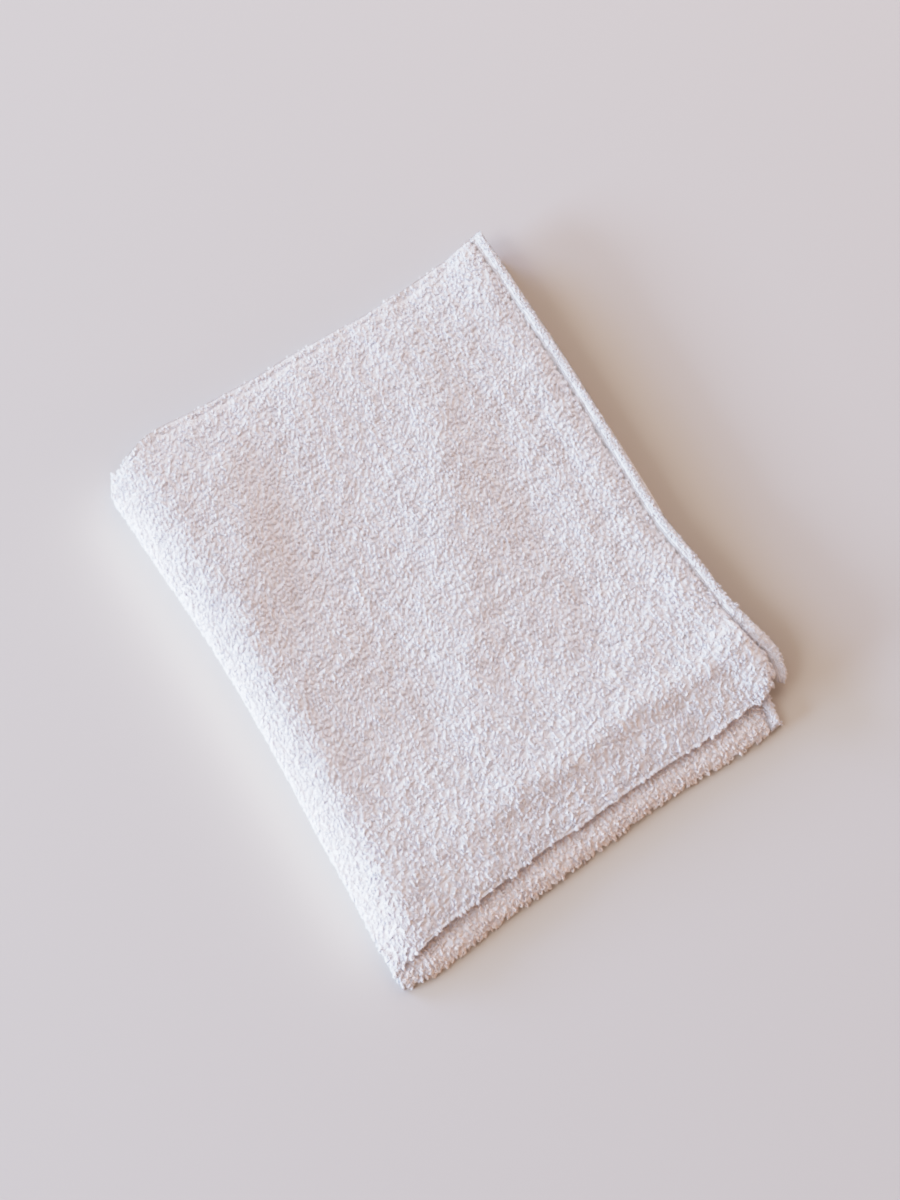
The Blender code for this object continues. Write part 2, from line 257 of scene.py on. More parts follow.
def lattice_noise(x, y, size, seed):
    """Random heights from -1 to 1 on a square lattice of the given size, blended by a soft step."""
    cells = 128
    heights = np.random.default_rng(seed).uniform(-1, 1, (cells, cells))
    i, j = np.floor(x / size).astype(int), np.floor(y / size).astype(int)
    u = soft_step(0, 1, x / size - i)
    v = soft_step(0, 1, y / size - j)

    def corner(a, b):
        return heights[(i + a) % cells, (j + b) % cells]

    return ((corner(0, 0) * (1 - u) + corner(1, 0) * u) * (1 - v)
            + (corner(0, 1) * (1 - u) + corner(1, 1) * u) * v)


def read_table(columns, rows, name, at):
    """Read one named column of a table at places in its first column."""
    index = columns.index(name)
    return smooth_read([row[0] for row in rows], [row[index] for row in rows], at)


def side_x(name, across):
    """Where the turn or a hem lies, at a place across the panel; the turn's back corner is drawn in."""
    x = read_table(SIDE_COLUMNS, SIDE_ROWS, name, across)
    if name == "turn_x":
        share = np.clip((across - CORNER_START) / (PANEL_WIDTH - CORNER_START), 0, 1)
        x = x + CORNER_CUT * share ** CORNER_CURVE
    return x


def turn_dip(along):
    """How far the upper face lies below its table near the turn: a parabola, steepest at the turn."""
    return TURN_DIP * np.clip(1 - np.asarray(along, float) / TURN_DIP_REACH, 0, 1) ** 2


def plan(layer, along, across):
    """X and Y of a layer: stretched between turn and hem and between the selvedges, which waver."""
    rows, hem, seed = {"upper": (UPPER_END_ROWS, "upper_hem_x", 3),
                       "lower": (LOWER_END_ROWS, "lower_hem_x", 5)}[layer]
    turn = side_x("turn_x", across)
    x = turn + (side_x(hem, across) - turn) * along / FOLDED_DEPTH
    front = read_table(END_COLUMNS, rows, "front_y", along)
    back = read_table(END_COLUMNS, rows, "back_y", along)
    middle = np.sin(np.pi * np.clip(along / FOLDED_DEPTH, 0, 1))
    if layer == "upper":
        notch = NOTCH * np.exp(-((along - STITCH_PLACE + NOTCH_PLACE) / NOTCH_HALF) ** 2)
        overhang = HEM_OVERHANG * soft_step(STITCH_PLACE, STITCH_PLACE + OVERHANG_REACH, along)
        rounding = END_ROUNDING * soft_step(FOLDED_DEPTH - END_REACH, FOLDED_DEPTH, along)
        front = front + notch - overhang + rounding
    front = front + EDGE_WAVER * middle * lattice_noise(along, along * 0, EDGE_WAVER_SIZE, seed)
    back = back + EDGE_WAVER * middle * lattice_noise(along, along * 0, EDGE_WAVER_SIZE, seed + 1)
    return x, front + (back - front) * across / PANEL_WIDTH


def thickness(along, across):
    """Terry with its loops, thinner at the selvedges, drawn in at the seam and rounded at the hem."""
    inward = np.minimum(across, PANEL_WIDTH - across)
    to_selvedge = smooth_read(*zip(*INWARD_ROWS), inward)
    to_hem = smooth_read(*zip(*HEM_ROWS), along)
    return np.minimum(to_selvedge, to_hem)


def soft_creases(x, y):
    """Sum of the creases: each a bell across its line, whose place, width and height are read by y."""
    total = np.zeros_like(x)
    for rows in CREASES:
        line, half_width, height = [read_table(CREASE_COLUMNS, rows, name, y)
                                    for name in CREASE_COLUMNS[1:]]
        total += height * np.exp(-((x - line) / half_width) ** 2)
    return total


def upper_height(along, across):
    """The upper face: the table of heights, read across each row and then along the rows."""
    rows = np.array([smooth_read(HEIGHT_COLUMNS, heights, across[0]) for _, heights in HEIGHT_ROWS])
    places = [place for place, _ in HEIGHT_ROWS]
    return np.stack([smooth_read(places, rows[:, i], along[:, i]) for i in range(across.shape[1])], 1)


def stretches(*parts):
    """Places along stretches, each given as its start, its stop and the step between places."""
    return np.concatenate([np.arange(start, stop, step) for start, stop, step in parts])


def layer_middle(layer, along, across):
    """Middle surface of a layer: half its thickness under its upper face, or over the table."""
    x, y = plan(layer, along, across)
    thick = thickness(along, across)
    if layer == "lower":
        return np.stack([x, y, thick / 2], -1)
    full = (thick / TERRY_THICKNESS) ** 2
    uneven = sum(height * lattice_noise(x + UPPER_SHIFT, y + UPPER_SHIFT, size, seed)
                 for size, height, seed in SWELLS)
    crest_place = CREST_PLACE + CREST_WAVER * lattice_noise(along, along * 0, CREST_WAVER_SIZE, 13)
    crest = CREST_HEIGHT * np.exp(-((across - crest_place) / CREST_HALF) ** 2) * (
        CREST_LEAST + (1 - CREST_LEAST) * soft_step(*CREST_SPAN, along))
    height = upper_height(along, across) + (soft_creases(x, y) + uneven + crest) * full - turn_dip(along)
    height = height + HEM_LIFT * soft_step(*HEM_RISE, along)
    height = height + HEM_EDGE_LIFT * soft_step(FOLDED_DEPTH - HEM_EDGE_REACH, FOLDED_DEPTH, along)
    drooping = DROOP * np.clip(1 - across / DROOP_LENGTH, 0, 1) ** DROOP_CURVE * soft_step(
        STITCH_PLACE - DROOP_EDGE, STITCH_PLACE + DROOP_EDGE, along)
    height = height - drooping - RIM_FALL * np.clip(1 - across / RIM_FALL_REACH, 0, 1) ** 2
    return np.stack([x, y, height - thick / 2], -1)


def turn_middle(share, across):
    """The turn's middle surface: an arc from the upper layer down to the table, leaned to the front."""
    slope = math.atan(2 * TURN_DIP / TURN_DIP_REACH * (1 - TURN_START / TURN_DIP_REACH))
    angle = math.pi / 2 + slope + share * (math.pi - slope)
    height = smooth_read(HEIGHT_COLUMNS, HEIGHT_ROWS[0][1], across) - turn_dip(TURN_START)
    thick = thickness(np.full_like(across, PLAIN_PLACE), across)
    radius = (height - thick) / (1 + math.cos(slope))
    _, upper_y = plan("upper", np.full_like(across, FIRST_PLACE), across)
    _, lower_y = plan("lower", np.full_like(across, FIRST_PLACE), across)
    return np.stack([side_x("turn_x", across) + radius + thick / 2 + radius * np.cos(angle),
                     upper_y + (lower_y - upper_y) * (1 - np.sin(angle)) / 2,
                     thick / 2 + radius + radius * np.sin(angle)], -1)


class Panel:
    """The panel's middle surface, as a grid: rows along its section, columns across its width."""

    def __init__(self):
        self.across = np.append(stretches(*GRID_ACROSS), PANEL_WIDTH)
        upper = FOLDED_DEPTH - stretches(*GRID_UPPER)
        share = np.linspace(0, 1, TURN_POINTS)
        lower = np.append(stretches(*GRID_LOWER), FOLDED_DEPTH)
        grids = [layer_middle("upper", *np.meshgrid(upper, self.across, indexing="ij")),
                 turn_middle(*np.meshgrid(share, self.across, indexing="ij")),
                 layer_middle("lower", *np.meshgrid(lower, self.across, indexing="ij"))]
        self.middle = np.concatenate(grids)
        self.along = np.concatenate([upper, np.zeros_like(share), lower])
        self.layer = np.repeat([0, 1, 2], [len(upper), len(share), len(lower)])
        self.centre()
        rows = np.gradient(self.middle, axis=0)
        columns = np.gradient(self.middle, axis=1)
        self.normal = unit(np.cross(columns, rows))
        steps = np.linalg.norm(np.diff(self.middle, axis=0), axis=-1).mean(1)
        self.section = np.concatenate([[0], np.cumsum(steps)])
        self.turn_start = self.section[len(upper)]
        self.turn_end = self.section[len(upper) + len(share) - 1]
        clear_of_hem = self.along + PLAIN_PLACE * (self.layer == 1)
        self.thickness = thickness(clear_of_hem[:, None], self.across[None])
        self.to_hem = np.where(self.layer != 1, FOLDED_DEPTH - self.along, 1e3)[:, None]
        self.outer, self.inner = face_offsets(self)

    def centre(self):
        """Move the grid so that its plan has the same middle as the solid."""
        flat = self.middle[..., :2].reshape(-1, 2)
        solid = [(low + high) / 2 / MM for low, high in zip(SOLID_LOW[:2], SOLID_HIGH[:2])]
        self.middle[..., :2] += np.array(solid) - (flat.min(0) + flat.max(0)) / 2

    def at(self, section, across):
        """Read the middle surface and its normal between the grid's points, in straight lines."""
        row = np.interp(section, self.section, np.arange(len(self.section)))
        col = np.interp(across, self.across, np.arange(len(self.across)))
        i = np.minimum(row.astype(int), len(self.section) - 2)
        j = np.minimum(col.astype(int), len(self.across) - 2)
        u, v = (row - i)[:, None], (col - j)[:, None]
        found = []
        for grid in (self.middle, self.normal, self.outer[..., None], self.inner[..., None]):
            found.append((grid[i, j] * (1 - u) + grid[i + 1, j] * u) * (1 - v)
                         + (grid[i, j + 1] * (1 - u) + grid[i + 1, j + 1] * u) * v)
        return found


def unit(vectors):
    """Vectors scaled to length 1."""
    return vectors / np.maximum(np.linalg.norm(vectors, axis=-1, keepdims=True), 1e-9)


def quad_mesh(name, points, quads, maps, values):
    """A smooth mesh of quads, with UV maps given for each corner and numbers given for each point."""
    mesh = bpy.data.meshes.new(name)
    points = np.asarray(points, np.float32) * np.float32(MM)
    quads = np.asarray(quads, np.int32)
    mesh.vertices.add(len(points))
    mesh.vertices.foreach_set("co", points.ravel())
    mesh.loops.add(quads.size)
    mesh.loops.foreach_set("vertex_index", quads.ravel())
    mesh.polygons.add(len(quads))
    mesh.polygons.foreach_set("loop_start", np.arange(0, quads.size, 4, dtype=np.int32))
    for map_name, corners in maps.items():
        layer = mesh.uv_layers.new(name=map_name)
        layer.data.foreach_set("uv", np.asarray(corners, np.float32).ravel())
    for value_name, numbers in values.items():
        attribute = mesh.attributes.new(value_name, "FLOAT", "POINT")
        attribute.data.foreach_set("value", np.asarray(numbers, np.float32).ravel())
    mesh.update(calc_edges=True)
    mesh.shade_smooth()
    return mesh


def new_object(name, data):
    """An object in the scene that holds a mesh, a lamp or a camera."""
    made = bpy.data.objects.new(name, data)
    bpy.context.scene.collection.objects.link(made)
    return made


def add_piece(mesh, material):
    """Put a mesh in the scene as a piece of the towel's own material slot."""
    mesh.materials.append(material)
    piece = new_object(mesh.name, mesh)
    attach(piece, "root")
    return piece


# ---- Ground cloth ----
def pucker(across):
    """From 0 to 1 along the seam: how deep its stitches draw the cloth in, in uneven short dashes."""
    phase = across / PUCKER_PITCH + PUCKER_WAVER * lattice_noise(
        across, across * 0, PUCKER_WAVER_SIZE, 21)
    return np.clip(0.5 + 0.5 * np.sin(2 * np.pi * phase), 0, 1) ** 1.5


def quarter_round(share):
    """The height of a quarter circle, from nearly 0 at its foot to 1: sqrt(1 - (1 - share)^2)."""
    return np.sqrt(np.clip(1 - (1 - np.clip(share, 0, 1)) ** 2, 0.02, 1))


def face_offsets(panel):
    """How far the outer and inner face lie from the middle surface, over the whole grid.

    Terry ground is even and thin. A hem is a full round-edged band, the seam beside it a groove. The
    underside of the lower layer reaches down to the table where no loops are modelled.
    """
    along, across = np.meshgrid(panel.along, panel.across, indexing="ij")
    inward = np.minimum(across, PANEL_WIDTH - across)
    half, to_hem = panel.thickness / 2, panel.to_hem
    hem = HEM_FULLNESS * half * quarter_round(to_hem / HEM_ROUND)
    shoulder = soft_step(*HEM_SHOULDER, to_hem)
    offset = GROUND + (hem - GROUND) * (1 - shoulder)
    groove = np.exp(-((to_hem - HEM_WIDTH) / GROOVE_HALF) ** 2) * (0.5 + 0.5 * pucker(across))
    rim = quarter_round(inward / SELVEDGE_ROUND)
    outer, inner = offset.copy(), offset.copy()
    matted = soft_step(*MATTED_ALONG, to_hem) * soft_step(*MATTED_SPAN, inward)
    outer += MATTED * matted * (panel.layer[:, None] < 2)
    inner += MATTED * matted
    outer -= GROOVE_DEPTH * groove * (panel.layer[:, None] == 0)
    beneath = (panel.layer == 2)[:, None] * soft_step(*UNDERSIDE_SPAN, inward) * soft_step(
        0, LOWER_BLEND, along - LOWER_START)
    outer = np.maximum(outer, outer + (half - UNDERSIDE_GAP - outer) * beneath)
    return outer * rim, inner * rim


def cloth_mesh(panel):
    """The closed ground: the outer and inner face as grids, joined by a strip round their rim.

    In its bake map the two faces lie in bands, and the rim in a strip above them.
    """
    outer = panel.middle + panel.normal * panel.outer[..., None]
    inner = panel.middle - panel.normal * panel.inner[..., None]
    rows, columns = panel.outer.shape
    index = np.arange(rows * columns).reshape(rows, columns)
    a, b, c, d = index[:-1, :-1], index[1:, :-1], index[1:, 1:], index[:-1, 1:]
    top = np.stack([a, d, c, b], -1).reshape(-1, 4)
    below = np.stack([a, b, c, d], -1).reshape(-1, 4) + index.size
    ring = np.concatenate([index[:, 0], index[-1, 1:], index[-2::-1, -1], index[0, -2:0:-1]])
    after = np.roll(ring, -1)
    rim = np.stack([ring, ring + index.size, after + index.size, after], -1)
    quads = np.concatenate([top, below, rim])
    points = np.maximum(np.concatenate([outer, inner]).reshape(-1, 3), (-1e3, -1e3, GROUND_FLOOR))
    section, across = np.meshgrid(panel.section, panel.across, indexing="ij")
    place = np.tile(np.stack([section, across], -1).reshape(-1, 2), (2, 1))
    corners = place[quads]
    margin, span, band, pitch, strip, strip_height = 0.01, 0.98, 0.31, 0.34, 0.70, 0.02
    bake = corners / panel.section[-1] * span + margin
    shift = np.repeat([0.0, pitch, 0.0], [len(top), len(below), len(rim)])[:, None]
    bake[..., 1] = corners[..., 1] / PANEL_WIDTH * band + margin + shift
    bake[len(top) + len(below):, :, 1] = strip + strip_height * np.array([0, 1, 1, 0])
    hem = 1 - soft_step(*HEM_FADE, panel.to_hem) + 0 * across
    inward = np.minimum(across, PANEL_WIDTH - across)
    selvedge = (1 - soft_step(*SELVEDGE_FADE, inward)) * (1 - hem)
    # the seam's line of painted shade, deepest at its puckers
    seam = np.exp(-((panel.to_hem - HEM_WIDTH) / SEAM_SHADE_HALF) ** 2) * (0.45 + 0.55 * pucker(across))
    values = {"hem": hem, "selvedge": selvedge, "seam": seam}
    return quad_mesh("towel_cloth", points, quads, {"weave": corners, "OFBake": bake},
                     {key: np.tile(value.ravel(), 2) for key, value in values.items()})


# ---- Loops ----
def tube_quads(steps, sides, closed):
    """Quads of one tube with a ring of points at each step, and their places along and round it."""
    ring, side = np.meshgrid(np.arange(steps if closed else steps - 1), np.arange(sides), indexing="ij")
    here, there, onward = ring * sides, (ring + 1) % steps * sides, (side + 1) % sides
    quads = np.stack([here + side, here + onward, there + onward, there + side], -1).reshape(-1, 4)
    strand = np.stack([np.stack([ring, ring, ring + 1, ring + 1], -1) / steps,
                       np.stack([side, side + 1, side + 1, side], -1) / sides], -1).reshape(-1, 4, 2)
    return quads, strand


def loop_roots(section_span, across_span, pitch, rng):
    """Roots on a shaken lattice of the given pitch, over a stretch of the panel."""
    section = np.arange(section_span[0], section_span[1], pitch[0])
    across = np.arange(across_span[0], across_span[1], pitch[1])
    section, across = np.meshgrid(section, across, indexing="ij")
    section[:, 1::2] += pitch[0] / 2
    section, across = section.ravel(), across.ravel()
    section = section + rng.uniform(-SHAKE, SHAKE, section.size) * pitch[0]
    across = across + rng.uniform(-SHAKE, SHAKE, across.size) * pitch[1]
    inside = ((section > section_span[0]) & (section < section_span[1])
              & (across > across_span[0]) & (across < across_span[1]))
    return section[inside], across[inside]


def leaning(x, y, rng, turned, scatter):
    """Directions in plan: the pile's nap, swaying from place to place and scattered loop by loop."""
    sway = LEAN_SWAY * lattice_noise(x + LEAN_SHIFT, y + LEAN_SHIFT, LEAN_SWAY_SIZE, 31)
    angle = LEAN_ANGLE + turned + sway + scatter * rng.normal(size=x.size)
    return np.stack([np.cos(angle), np.sin(angle), 0 * angle], -1)


def loop_rings(root, normal, lean, length, height, width, turn, twist, radius):
    """Centre lines and tube points of loops.

    A loop is a closed ring: with u from 0 to 2 pi, its reach is g = (1 - cos u) / 2 and its sideways
    swing (width / 2) sin u (0.65 + 0.35 g). Its axis rises as height (1 - (1 - g)^2) and leans forward
    as length g (0.8 + 0.2 g). The sideways direction turns about that axis by turn + twist g. A
    tube of YARN_SIDES sides is laid round the ring.
    """
    u = np.arange(LOOP_STEPS) * 2 * np.pi / LOOP_STEPS
    g = ((1 - np.cos(u)) / 2)[None, :, None]
    swing = (np.sin(u)[None, :, None]) * (0.65 + 0.35 * g) / 2
    along = unit(lean - normal * (lean * normal).sum(-1, keepdims=True))[:, None]
    up = normal[:, None]
    side = np.cross(up, along)
    length, height, width, turn, twist, radius = [
        value[:, None, None] for value in (length, height, width, turn, twist, radius)]
    forward = length * g * (0.8 + 0.2 * g)
    rise = height * (1 - (1 - g) ** 2)
    run = unit(np.concatenate([length * (0.8 + 0.4 * g), 2 * height * (1 - g)], -1))
    over = along * -run[..., 1:] + up * run[..., :1]
    angle = turn + twist * g
    sideways = side * np.cos(angle) + over * np.sin(angle)
    centre = root[:, None] + along * forward + up * rise + sideways * width * swing
    tangent = unit(np.roll(centre, -1, 1) - np.roll(centre, 1, 1))
    flat = over * np.cos(angle) - side * np.sin(angle)
    first = unit(flat - tangent * (flat * tangent).sum(-1, keepdims=True))
    second = np.cross(tangent, first)
    spoke = np.arange(YARN_SIDES) * 2 * np.pi / YARN_SIDES
    high, wide = YARN_FLAT[0] * np.cos(spoke), YARN_FLAT[1] * np.sin(spoke)
    thick = radius * (0.86 + 0.24 * g)
    tube = (centre[:, :, None] + thick[..., None] * (first[:, :, None] * high[None, None, :, None]
            + second[:, :, None] * wide[None, None, :, None]))
    return tube, np.broadcast_to(g, centre.shape[:2] + (1,))[..., 0]


def pile_mesh(name, panel, patches, seed):
    """Loops over several patches of the panel, joined as one mesh.

    A patch gives the face, the spans along and across the panel, how far the nap is turned, and the
    ranges of the loops' length and height. A finer patch adds its own pitch, yarn radius, share of the
    width and depth of the roots. Away from the front margin the loops are calmer, narrower and thicker.
    """
    rng = np.random.default_rng(seed)
    tubes, reaches, shades = [], [], []
    for face, section_span, across_span, turned, lengths, heights, *finer in patches:
        pitch, yarn, widen, sunk = finer or (LOOP_PITCH, YARN_RADIUS, 1.0, SUNK)
        section, across = loop_roots(section_span, across_span, pitch, rng)
        if face == 1 and not finer:
            keep = across > clean_band(panel, section)
            section, across = section[keep], across[keep]
        middle, normal, outer, inner = panel.at(section, across)
        normal = unit(normal) * face
        root = middle + normal * ((outer if face == 1 else inner) - sunk)
        count = section.size
        calm = soft_step(*CALM_SPAN, across)
        scatter = LEAN_SCATTER[0] + (LEAN_SCATTER[1] - LEAN_SCATTER[0]) * calm
        lean = leaning(root[:, 0], root[:, 1], rng, turned, scatter)
        length = rng.uniform(*lengths, count)
        height = rng.uniform(*heights, count) * rng.choice(HEIGHT_CHOICE, count, p=HEIGHT_ODDS)
        width = rng.choice(WIDTHS, count, p=WIDTH_ODDS) * rng.uniform(*WIDTH_RANGE, count)
        width = width * widen * (1 - CALM_NARROWER * calm)
        turn = rng.normal(0, SIDE_TURN, count)
        twist = rng.normal(0, 1, count) * (CURL[0] + (CURL[1] - CURL[0]) * calm)
        radius = yarn * rng.uniform(*YARN_RANGE, count) * (1 + CALM_THICKER * calm)
        tube, reach = loop_rings(root, normal, lean, length, height, width, turn, twist, radius)
        tubes.append(tube)
        reaches.append(reach)
        shades.append(rng.uniform(0, 1, count))
    tube, reach, shade = np.concatenate(tubes), np.concatenate(reaches), np.concatenate(shades)
    count = len(tube)
    tube[..., 2] += np.maximum(LOOP_FLOOR - tube[..., 2].min((1, 2)), 0)[:, None, None]
    points = tube.reshape(-1, 3)
    corner, strand = tube_quads(LOOP_STEPS, YARN_SIDES, True)
    quads = (corner[None] + (np.arange(count) * LOOP_STEPS * YARN_SIDES)[:, None, None]).reshape(-1, 4)
    tiles = math.ceil(math.sqrt(count))
    tile = np.stack([np.arange(count) % tiles, np.arange(count) // tiles], -1)
    margin, span = 0.08, 0.84
    bake = (tile[:, None, None] + margin + span * strand[None]) / tiles
    maps = {"strand": np.tile(strand, (count, 1, 1)), "OFBake": bake}
    values = {"shade": np.repeat(shade, LOOP_STEPS * YARN_SIDES),
              "reach": np.repeat(reach.ravel(), YARN_SIDES)}
    return quad_mesh(name, points, quads, maps, values)


def clean_band(panel, section):
    """Width of the woven selvedge that carries no loops, uneven, and narrow towards the turn."""
    narrowing = soft_step(panel.turn_start * CLEAN_FROM, panel.turn_start + CLEAN_PAST, section)
    wide = CLEAN_BAND - CLEAN_LESS * narrowing
    waver = CLEAN_WAVER * lattice_noise(section, section * 0, CLEAN_WAVER_SIZE, 41)
    return np.maximum(wide * (1 + waver), CLEAN_LEAST)


# ---- Hem stitches ----
def stitch_mesh(panel):
    """Lockstitches along both hems' seams: short threads that arch up and dive at their ends."""
    pitch, length, radius, steps, sides = 3.0, 2.4, 0.15, 5, 4
    groove_share, arch_height, sunk, taper = 0.6, 0.24, 0.42, (0.25, 0.9, 1.0, 0.9, 0.25)
    starts = np.arange(2.0, PANEL_WIDTH - 3.0, pitch)
    seams = [(panel.section[0] + HEM_WIDTH, 1), (panel.section[-1] - HEM_WIDTH, -1)]
    tubes = []
    t = np.linspace(0, 1, steps)
    for seam, face in seams:
        across = (starts[:, None] + length * t[None]).ravel()
        middle, normal, _, _ = panel.at(np.full_like(across, seam), across)
        arch = np.tile(arch_height * np.sin(np.pi * t) - sunk, len(starts))[:, None]
        height = GROUND - GROOVE_DEPTH * groove_share + arch
        centre = (middle + unit(normal) * face * height).reshape(-1, steps, 3)
        tangent = unit(np.gradient(centre, axis=1))
        first = unit(np.cross(tangent, unit(normal).reshape(centre.shape)))
        second = np.cross(tangent, first)
        spoke = np.arange(sides) * 2 * np.pi / sides
        thick = (radius * np.array(taper))[None, :, None, None]
        tubes.append(centre[:, :, None] + thick * (first[:, :, None] * np.cos(spoke)[:, None]
                                                   + second[:, :, None] * np.sin(spoke)[:, None]))
    tube = np.concatenate(tubes)
    last, points = (steps - 1) * sides, steps * sides
    ends = [[3, 2, 1, 0], [last, last + 1, last + 2, last + 3]]
    corner = np.concatenate([tube_quads(steps, sides, False)[0], ends])
    quads = (corner[None] + (np.arange(len(tube)) * points)[:, None, None]).reshape(-1, 4)
    strand = np.stack([quads % points // sides / steps, quads % sides / sides], -1)
    return quad_mesh("hem_stitches", tube.reshape(-1, 3), quads, {"strand": strand}, {})


# ---- Materials ----
def new_group(name, inputs, outputs):
    """An empty shader node group with named sockets."""
    group = bpy.data.node_groups.new(name, "ShaderNodeTree")
    for socket_name, kind, value in inputs:
        socket = group.interface.new_socket(socket_name, in_out="INPUT", socket_type=kind)
        if value is not None:
            socket.default_value = value
    for socket_name, kind in outputs:
        group.interface.new_socket(socket_name, in_out="OUTPUT", socket_type=kind)
    return group, group.nodes.new("NodeGroupInput"), group.nodes.new("NodeGroupOutput")


def feed(tree, socket, value):
    """Give a node's input a link from another node's output, or a plain value."""
    if isinstance(value, bpy.types.NodeSocket):
        tree.links.new(value, socket)
    elif value is not None:
        socket.default_value = value


def set_inputs(node, **values):
    """Set inputs of a node by their names, where "_" stands for a space."""
    for name, value in values.items():
        node.inputs[name.replace("_", " ")].default_value = value


def maths(tree, operation, first, second=None):
    """A Math node whose inputs are sockets or plain numbers."""
    node = tree.nodes.new("ShaderNodeMath")
    node.operation = operation
    feed(tree, node.inputs[0], first)
    feed(tree, node.inputs[1], second)
    return node.outputs[0]


def mix_colours(tree, factor, first, second):
    """A mix of two colours, each a socket or a plain colour."""
    node = tree.nodes.new("ShaderNodeMix")
    node.data_type = "RGBA"
    feed(tree, node.inputs["Factor"], factor)
    feed(tree, node.inputs[6], first)
    feed(tree, node.inputs[7], second)
    return node.outputs[2]


def scale_colour(tree, colour, factor):
    """A colour made paler or darker by a factor."""
    node = tree.nodes.new("ShaderNodeVectorMath")
    node.operation = "SCALE"
    tree.links.new(colour, node.inputs[0])
    tree.links.new(factor, node.inputs["Scale"])
    return node.outputs[0]


def noise(tree, place, **settings):
    """Random heights read at a place, with the noise texture's own settings."""
    node = tree.nodes.new("ShaderNodeTexNoise")
    tree.links.new(place, node.inputs["Vector"])
    set_inputs(node, **settings)
    return node.outputs["Fac"]


def cotton_tone_group():
    """Cotton's colour, mixed from free yarn's colour towards a painted shade tone, uneven by strand and
    fleck.
    """
    group, given, result = new_group(
        "cotton_tone",
        [("Depth", "NodeSocketFloat", 0.0), ("Shade", "NodeSocketFloat", 0.5),
         ("Free", "NodeSocketColor", GROUND_FREE), ("Deep", "NodeSocketColor", GROUND_PAINTED_SHADE)],
        [("Color", "NodeSocketColor")])
    place = group.nodes.new("ShaderNodeTexCoord")
    mottle = noise(group, place.outputs["Object"], Scale=FLECK_SCALE)
    mixed = mix_colours(group, given.outputs["Depth"], given.outputs["Free"], given.outputs["Deep"])
    strand = maths(group, "SUBTRACT", given.outputs["Shade"], 0.5)
    fleck = maths(group, "SUBTRACT", mottle, 0.5)
    uneven = maths(group, "ADD", maths(group, "MULTIPLY", strand, SHADE_SPREAD),
                   maths(group, "MULTIPLY", fleck, FLECK_SPREAD))
    factor = maths(group, "ADD", uneven, 1.0)
    group.links.new(scale_colour(group, mixed, factor), result.inputs["Color"])
    return group


def yarn_twist_group():
    """Height of a two-ply yarn's twist, from its strand map: along the yarn and round it."""
    group, given, result = new_group(
        "yarn_twist", [("Strand", "NodeSocketVector", None), ("Turns", "NodeSocketFloat", LOOP_TWIST)],
        [("Height", "NodeSocketFloat")])
    split = group.nodes.new("ShaderNodeSeparateXYZ")
    group.links.new(given.outputs["Strand"], split.inputs[0])
    along = maths(group, "MULTIPLY", split.outputs["X"], given.outputs["Turns"])
    phase = maths(group, "MULTIPLY", maths(group, "ADD", along, split.outputs["Y"]), 4 * math.pi)
    group.links.new(maths(group, "SINE", phase), result.inputs["Height"])
    return group


def attribute(tree, name):
    """The output of a named number on the mesh."""
    node = tree.nodes.new("ShaderNodeAttribute")
    node.attribute_name = name
    return node.outputs["Fac"]


def uv_map(tree, name):
    """The output of a named UV map."""
    node = tree.nodes.new("ShaderNodeUVMap")
    node.uv_map = name
    return node.outputs["UV"]


def place_group(tree, group):
    """Put a node group into a material."""
    node = tree.nodes.new("ShaderNodeGroup")
    node.node_tree = group
    return node


def cotton_material(name, bump_height):
    """A cotton Principled shader, dull and with a soft sheen, with a bump ready for its height."""
    material = bpy.data.materials.new(name)
    material.use_nodes = True
    tree = material.node_tree
    shader = tree.nodes["Principled BSDF"]
    set_inputs(shader, Roughness=0.95, Specular_IOR_Level=0.12, Sheen_Weight=0.5, Sheen_Roughness=0.6)
    bump = tree.nodes.new("ShaderNodeBump")
    set_inputs(bump, Distance=bump_height)
    tree.links.new(bump.outputs["Normal"], shader.inputs["Normal"])
    return material, tree, shader, bump


def twisted_ply(tree, twist, turns, bump):
    """Give a yarn the bump of its twist."""
    ply = place_group(tree, twist)
    tree.links.new(uv_map(tree, "strand"), ply.inputs["Strand"])
    set_inputs(ply, Turns=turns)
    tree.links.new(ply.outputs["Height"], bump.inputs["Height"])


def loop_cotton(name, tone, twist, free, deep):
    """Soft twisted yarn of the loops, from the tone of their free tops to a painted shade tone at their
    roots.
    """
    material, tree, shader, bump = cotton_material(name, LOOP_BUMP)
    shade = place_group(tree, tone)
    set_inputs(shade, Free=free, Deep=deep)
    # painted shade: the nearer to a loop's root, the more of the shade tone
    tree.links.new(maths(tree, "SUBTRACT", 1.0, attribute(tree, "reach")), shade.inputs["Depth"])
    tree.links.new(attribute(tree, "shade"), shade.inputs["Shade"])
    tree.links.new(shade.outputs["Color"], shader.inputs["Base Color"])
    twisted_ply(tree, twist, LOOP_TWIST, bump)
    set_inputs(bump, Strength=PLY_STRENGTH)
    return material


